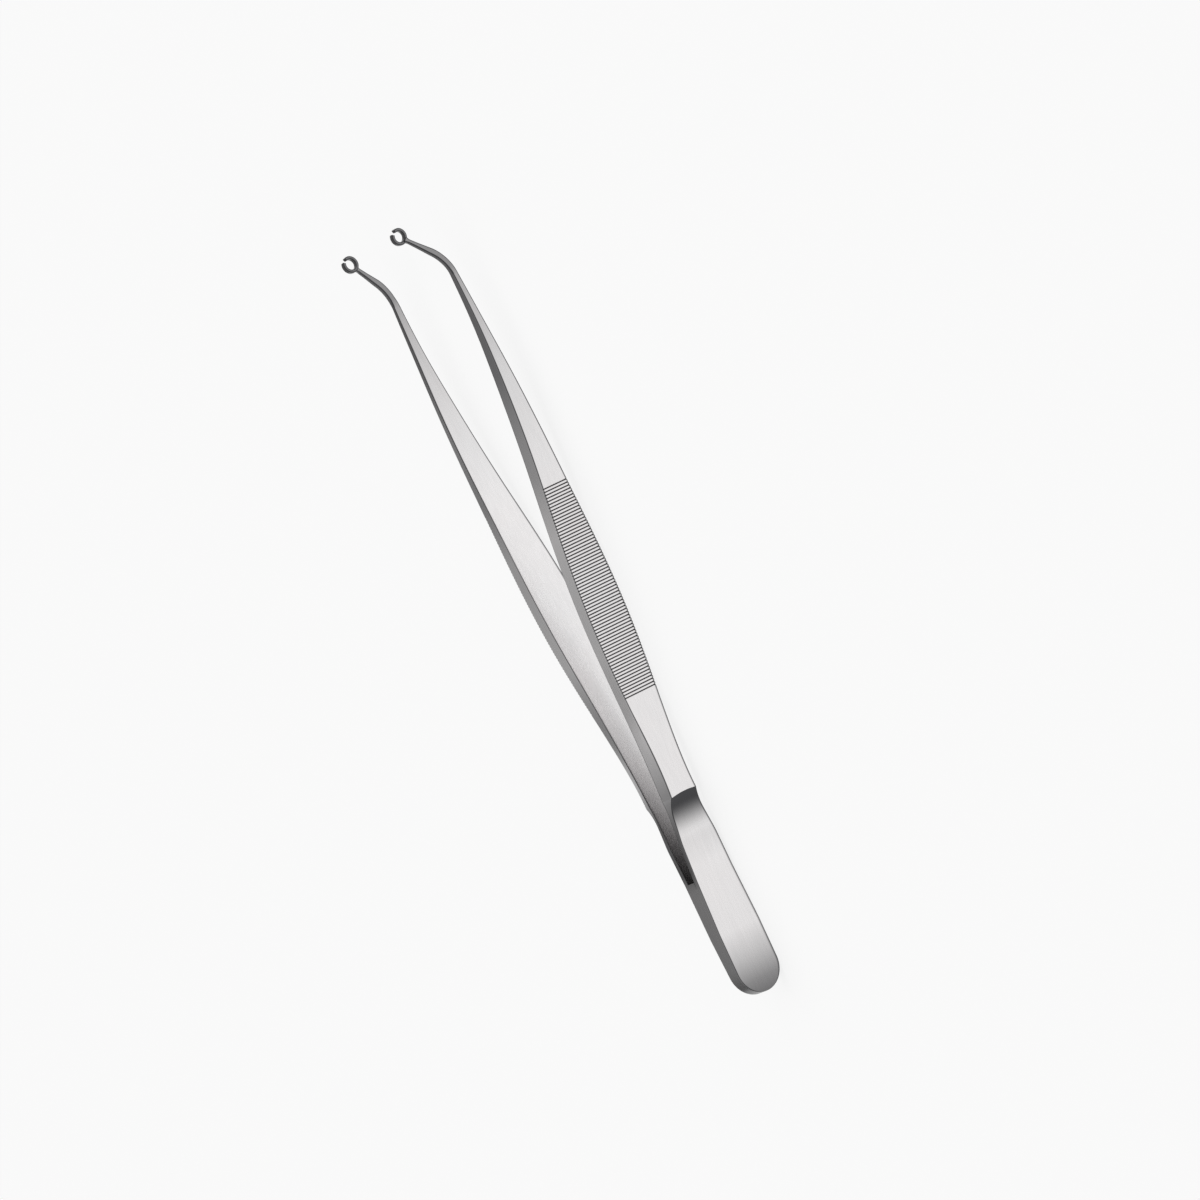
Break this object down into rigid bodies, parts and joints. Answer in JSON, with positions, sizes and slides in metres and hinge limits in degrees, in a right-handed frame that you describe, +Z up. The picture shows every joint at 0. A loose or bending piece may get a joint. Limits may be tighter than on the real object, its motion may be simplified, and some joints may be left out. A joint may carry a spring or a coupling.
{
  "type": "suture forceps",
  "caption": "Sprung thumb forceps for suturing: grooved arms joined over a wedge at the tail, with sideways-bent tips that end in small open rings.",
  "frame": {"origin": "under the middle of the forceps, on the surface that their narrow edges rest on", "axes": "+Y from the tail to the tips, +X across the gap towards the right arm, in the plane in which the arms open and close, +Z up along the arms' width, the way the tips are bent"},
  "size_m": [0.0262, 0.1702, 0.0142],
  "materials": {
    "satin_steel": "satin"
  },
  "bodies": {
    "tail": {"tail_spacer": "satin_steel", "right_arm_heel": "satin_steel", "left_arm_heel": "satin_steel"},
    "right_arm": {"right_arm_blade": "satin_steel"},
    "left_arm": {"left_arm_blade": "satin_steel"}
  },
  "joints": [
    {"name": "right_arm_flex", "type": "hinge", "parent": "tail", "child": "right_arm", "pos_m": [0.00229, -0.05106, 0.0054], "axis": [0, 0, 1], "range_deg": [0, 3.96], "stiffness_Nm_per_rad": 4},
    {"name": "left_arm_flex", "type": "hinge", "parent": "tail", "child": "left_arm", "pos_m": [-0.00229, -0.05106, 0.0054], "axis": [0, 0, -1], "range_deg": [0, 3.96], "stiffness_Nm_per_rad": 4}
  ]
}
